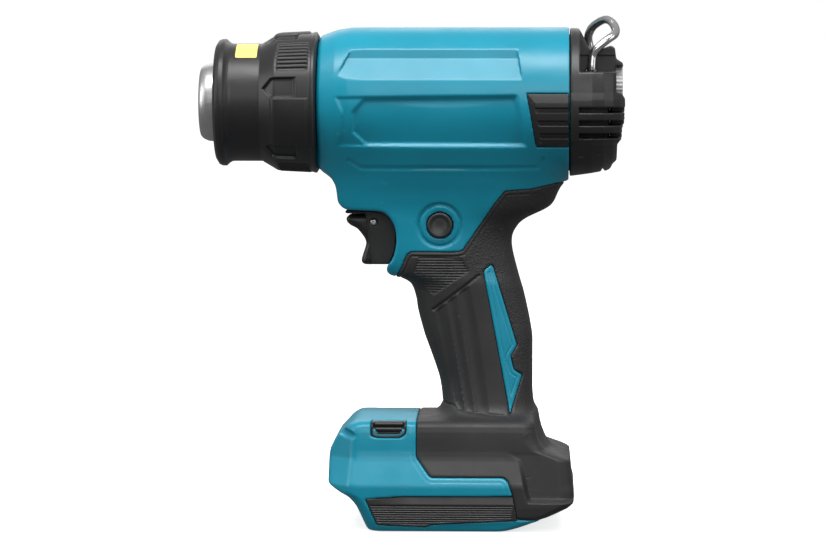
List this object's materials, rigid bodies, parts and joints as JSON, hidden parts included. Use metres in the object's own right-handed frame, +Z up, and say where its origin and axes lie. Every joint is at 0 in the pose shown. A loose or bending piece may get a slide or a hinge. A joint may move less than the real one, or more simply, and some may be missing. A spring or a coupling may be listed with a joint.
{
  "type": "cordless heat gun",
  "caption": "Pistol-grip cordless heat gun: steel outlet with turning guard, ribbed barrel, rubber grip, trigger with cross-bolt lock, hanging ring and a foot that takes a slide-on battery.",
  "frame": {"origin": "bottom centre of the bounding box, on the plane that the foot stands on", "axes": "nozzle towards -X, the tool's left side towards -Y, +Z up"},
  "size_m": [0.182, 0.0756, 0.2179],
  "materials": {
    "teal_plastic": "fine-textured moulded nylon, teal",
    "black_plastic": "fine-textured moulded nylon, black",
    "rubber": "soft overmoulded elastomer",
    "inner_plastic": "plain moulded plastic inside the tool",
    "steel": "satin stainless steel",
    "chrome": "bright plated wire",
    "label": "blank adhesive film",
    "grey_plastic": "light grey moulded knob",
    "mica": "mica sheet",
    "ceramic": "unglazed ceramic",
    "copper": "bare copper alloy",
    "red_wire": "wire insulation",
    "black_wire": "wire insulation"
  },
  "bodies": {
    "housing": {"housing_left": "teal_plastic", "housing_right": "teal_plastic", "grip_left": "rubber", "grip_right": "rubber", "accent_left": "teal_plastic", "accent_right": "teal_plastic", "vent_grille_left": "black_plastic", "vent_grille_right": "black_plastic", "rail_panel_left": "black_plastic", "rail_panel_right": "black_plastic", "hook_socket_left": "black_plastic", "hook_socket_right": "black_plastic", "nozzle_tube": "steel", "mica_tube": "mica", "heater_core": "mica", "heating_coil": "steel", "front_disc": "ceramic", "rear_disc": "ceramic", "temperature_sensor": "steel", "thermal_fuse": "steel", "fan_duct": "inner_plastic", "motor_can": "steel", "motor_mount": "inner_plastic", "rear_cover": "black_plastic", "potentiometer": "inner_plastic", "trigger_bracket": "black_plastic", "trigger_pin": "steel", "switch_body": "inner_plastic", "control_module": "inner_plastic", "terminal_block": "inner_plastic", "contact_blade_left": "copper", "contact_blade_right": "copper", "handle_lead_red": "red_wire", "handle_lead_black": "black_wire", "motor_lead": "red_wire", "heater_lead": "black_wire", "housing_screw_1": "steel", "housing_screw_2": "steel", "housing_screw_3": "steel", "housing_screw_4": "steel", "housing_screw_5": "steel", "housing_screw_6": "steel", "housing_screw_7": "steel", "housing_screw_8": "steel"},
    "trigger": {"trigger": "black_plastic"},
    "switch_plunger": {"switch_plunger": "grey_plastic", "plunger_spring": "steel"},
    "lock_button": {"lock_button": "black_plastic"},
    "hanging_ring": {"hanging_ring": "chrome"},
    "temperature_dial": {"temperature_dial": "grey_plastic"},
    "fan": {"impeller": "inner_plastic", "motor_shaft": "steel", "motor_rotor": "copper"},
    "nozzle_guard": {"nozzle_guard": "black_plastic", "guard_label": "label"}
  },
  "joints": [
    {"name": "trigger_pull", "type": "hinge", "parent": "housing", "child": "trigger", "pos_m": [-0.01615, 0, 0.1295], "axis": [0, -1, 0], "range_deg": [0, 7], "stiffness_Nm_per_rad": 0.15, "springref_deg": -2.86},
    {"name": "plunger_slide", "type": "slide", "parent": "housing", "child": "switch_plunger", "axis": [1, 0, 0], "range_m": [0, 0.0017], "deforming": ["plunger_spring"]},
    {"name": "lock_slide", "type": "slide", "parent": "housing", "child": "lock_button", "axis": [0, 1, 0], "range_m": [0, 0.003]},
    {"name": "ring_swing", "type": "hinge", "parent": "housing", "child": "hanging_ring", "pos_m": [0.07665, 0, 0.193], "axis": [0, 1, 0], "range_deg": [0, 75]},
    {"name": "dial_turn", "type": "hinge", "parent": "housing", "child": "temperature_dial", "pos_m": [0.08765, 0, 0.1888], "axis": [1, 0, 0], "range_deg": [-135, 135]},
    {"name": "fan_spin", "type": "hinge", "parent": "housing", "child": "fan", "pos_m": [0.03065, 0, 0.1805], "axis": [1, 0, 0], "continuous": true},
    {"name": "guard_twist", "type": "hinge", "parent": "housing", "child": "nozzle_guard", "pos_m": [-0.06135, 0, 0.1805], "axis": [1, 0, 0], "range_deg": [0, 30]}
  ],
  "couplings": [
    {"joint": "plunger_slide", "follows": "trigger_pull", "m_per_rad": 0.0135}
  ]
}
